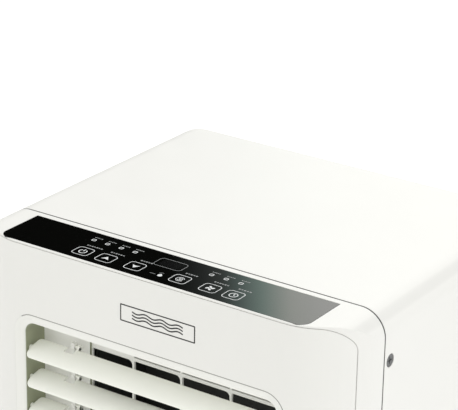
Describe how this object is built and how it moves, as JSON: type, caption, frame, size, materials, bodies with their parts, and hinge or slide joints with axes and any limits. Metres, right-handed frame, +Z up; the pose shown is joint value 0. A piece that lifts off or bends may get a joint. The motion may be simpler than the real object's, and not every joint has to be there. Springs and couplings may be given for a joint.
{
  "type": "portable air conditioner",
  "caption": "Tall narrow portable air conditioner with a top control panel, a louvred front outlet, a rear filter grille, a round exhaust port and swivel casters.",
  "frame": {"origin": "on the floor, at the middle of the cabinet's width and depth", "axes": "+Z up, the front with the air outlet faces -Y, +X to the right as the front is seen"},
  "size_m": [0.345, 0.292, 0.695],
  "materials": {
    "shell": "satin white moulded shell",
    "trim": "satin white",
    "blade": "satin white",
    "lens": "polished black",
    "board": "solder mask",
    "display": "dark display block",
    "led": "clear lamp",
    "foam": "conductive foam",
    "badge": "printed plate",
    "duct": "moulded",
    "fan": "moulded",
    "pan": "moulded",
    "steel": "galvanised",
    "fins": "fin stock",
    "copper": "bare copper",
    "compressor": "black enamel",
    "rubber": "moulded rubber",
    "filter": "woven mesh in a frame",
    "crank": "acetal",
    "screw": "black cover and screw",
    "caster": "moulded",
    "tyre": "caster tread"
  },
  "bodies": {
    "cabinet": {"front_frame": "shell", "front_panel": "shell", "rear_housing": "shell", "back_cover": "shell", "base_pan": "pan", "mid_deck": "steel", "control_lens": "lens", "control_board": "board", "display_module": "display", "indicator_leds": "led", "touch_pads": "foam", "badge": "badge", "outlet_frame": "trim", "outlet_grille": "trim", "swing_motor": "steel", "upper_scroll": "duct", "upper_scroll_cover": "duct", "upper_motor": "steel", "evaporator_coil": "fins", "evaporator_tubes": "copper", "drip_tray": "duct", "lower_scroll": "duct", "lower_scroll_cover": "duct", "lower_motor": "steel", "condenser_coil": "fins", "condenser_tubes": "copper", "compressor": "compressor", "compressor_grommets": "rubber", "compressor_bolts": "steel", "discharge_line": "copper", "suction_line": "copper", "capillary_line": "copper", "control_box": "steel", "exhaust_collar": "duct", "cord_gland": "rubber", "grip_left": "trim", "grip_right": "trim", "side_screws": "screw"},
    "louver_1": {"louver_1": "blade"},
    "louver_2": {"louver_2": "blade"},
    "louver_3": {"louver_3": "blade"},
    "louver_4": {"louver_4": "blade"},
    "louver_5": {"louver_5": "blade"},
    "louver_link": {"louver_link": "trim"},
    "swing_crank": {"swing_crank": "crank"},
    "upper_wheel": {"upper_wheel": "fan"},
    "lower_wheel": {"lower_wheel": "fan"},
    "intake_filter": {"upper_grille": "shell", "air_filter": "filter"},
    "drain_plug_lower": {"drain_plug_lower": "rubber"},
    "drain_plug_upper": {"drain_plug_upper": "rubber"},
    "caster_yoke_fl": {"caster_yoke_fl": "caster"},
    "caster_wheel_fl": {"caster_wheel_fl": "tyre"},
    "caster_yoke_fr": {"caster_yoke_fr": "caster"},
    "caster_wheel_fr": {"caster_wheel_fr": "tyre"},
    "caster_yoke_bl": {"caster_yoke_bl": "caster"},
    "caster_wheel_bl": {"caster_wheel_bl": "tyre"},
    "caster_yoke_br": {"caster_yoke_br": "caster"},
    "caster_wheel_br": {"caster_wheel_br": "tyre"}
  },
  "joints": [
    {"name": "louver_1_swing", "type": "hinge", "parent": "cabinet", "child": "louver_1", "pos_m": [0, -0.137, 0.6035], "axis": [1, 0, 0], "range_deg": [-25, 35]},
    {"name": "louver_2_swing", "type": "hinge", "parent": "cabinet", "child": "louver_2", "pos_m": [0, -0.137, 0.5781], "axis": [1, 0, 0], "range_deg": [-25, 35]},
    {"name": "louver_3_swing", "type": "hinge", "parent": "cabinet", "child": "louver_3", "pos_m": [0, -0.137, 0.5527], "axis": [1, 0, 0], "range_deg": [-25, 35]},
    {"name": "louver_4_swing", "type": "hinge", "parent": "cabinet", "child": "louver_4", "pos_m": [0, -0.137, 0.5273], "axis": [1, 0, 0], "range_deg": [-25, 35]},
    {"name": "louver_5_swing", "type": "hinge", "parent": "cabinet", "child": "louver_5", "pos_m": [0, -0.137, 0.5019], "axis": [1, 0, 0], "range_deg": [-25, 35]},
    {"name": "louver_link_pivot", "type": "hinge", "parent": "louver_1", "child": "louver_link", "pos_m": [-0.081, -0.12694, 0.61004], "axis": [1, 0, 0], "range_deg": [-35, 25]},
    {"name": "swing_crank_turn", "type": "hinge", "parent": "cabinet", "child": "swing_crank", "pos_m": [-0.09, -0.113, 0.54], "axis": [1, 0, 0], "range_deg": [-25, 35]},
    {"name": "upper_wheel_spin", "type": "hinge", "parent": "cabinet", "child": "upper_wheel", "pos_m": [0.02, -0.08, 0.44], "axis": [0, 1, 0], "continuous": true},
    {"name": "lower_wheel_spin", "type": "hinge", "parent": "cabinet", "child": "lower_wheel", "pos_m": [-0.045, 0.04, 0.195], "axis": [0, 1, 0], "continuous": true},
    {"name": "intake_filter_pull", "type": "slide", "parent": "cabinet", "child": "intake_filter", "axis": [0, 1, 0], "range_m": [0, 0.06]},
    {"name": "drain_plug_lower_pull", "type": "slide", "parent": "cabinet", "child": "drain_plug_lower", "axis": [0, 1, 0], "range_m": [0, 0.03]},
    {"name": "drain_plug_upper_pull", "type": "slide", "parent": "cabinet", "child": "drain_plug_upper", "axis": [0, 1, 0], "range_m": [0, 0.03]},
    {"name": "caster_swivel_fl", "type": "hinge", "parent": "cabinet", "child": "caster_yoke_fl", "pos_m": [-0.1345, -0.101, 0.046], "axis": [0, 0, 1], "continuous": true},
    {"name": "caster_roll_fl", "type": "hinge", "parent": "caster_yoke_fl", "child": "caster_wheel_fl", "pos_m": [-0.1345, -0.092, 0.018], "axis": [1, 0, 0], "continuous": true},
    {"name": "caster_swivel_fr", "type": "hinge", "parent": "cabinet", "child": "caster_yoke_fr", "pos_m": [0.1345, -0.101, 0.046], "axis": [0, 0, 1], "continuous": true},
    {"name": "caster_roll_fr", "type": "hinge", "parent": "caster_yoke_fr", "child": "caster_wheel_fr", "pos_m": [0.1345, -0.092, 0.018], "axis": [1, 0, 0], "continuous": true},
    {"name": "caster_swivel_bl", "type": "hinge", "parent": "cabinet", "child": "caster_yoke_bl", "pos_m": [-0.1345, 0.106, 0.046], "axis": [0, 0, 1], "continuous": true},
    {"name": "caster_roll_bl", "type": "hinge", "parent": "caster_yoke_bl", "child": "caster_wheel_bl", "pos_m": [-0.1345, 0.115, 0.018], "axis": [1, 0, 0], "continuous": true},
    {"name": "caster_swivel_br", "type": "hinge", "parent": "cabinet", "child": "caster_yoke_br", "pos_m": [0.1345, 0.106, 0.046], "axis": [0, 0, 1], "continuous": true},
    {"name": "caster_roll_br", "type": "hinge", "parent": "caster_yoke_br", "child": "caster_wheel_br", "pos_m": [0.1345, 0.115, 0.018], "axis": [1, 0, 0], "continuous": true}
  ],
  "couplings": [
    {"joint": "louver_2_swing", "follows": "louver_1_swing", "ratio": 1},
    {"joint": "louver_3_swing", "follows": "louver_1_swing", "ratio": 1},
    {"joint": "louver_4_swing", "follows": "louver_1_swing", "ratio": 1},
    {"joint": "louver_5_swing", "follows": "louver_1_swing", "ratio": 1},
    {"joint": "louver_link_pivot", "follows": "louver_1_swing", "ratio": -1},
    {"joint": "swing_crank_turn", "follows": "louver_1_swing", "ratio": 1}
  ]
}
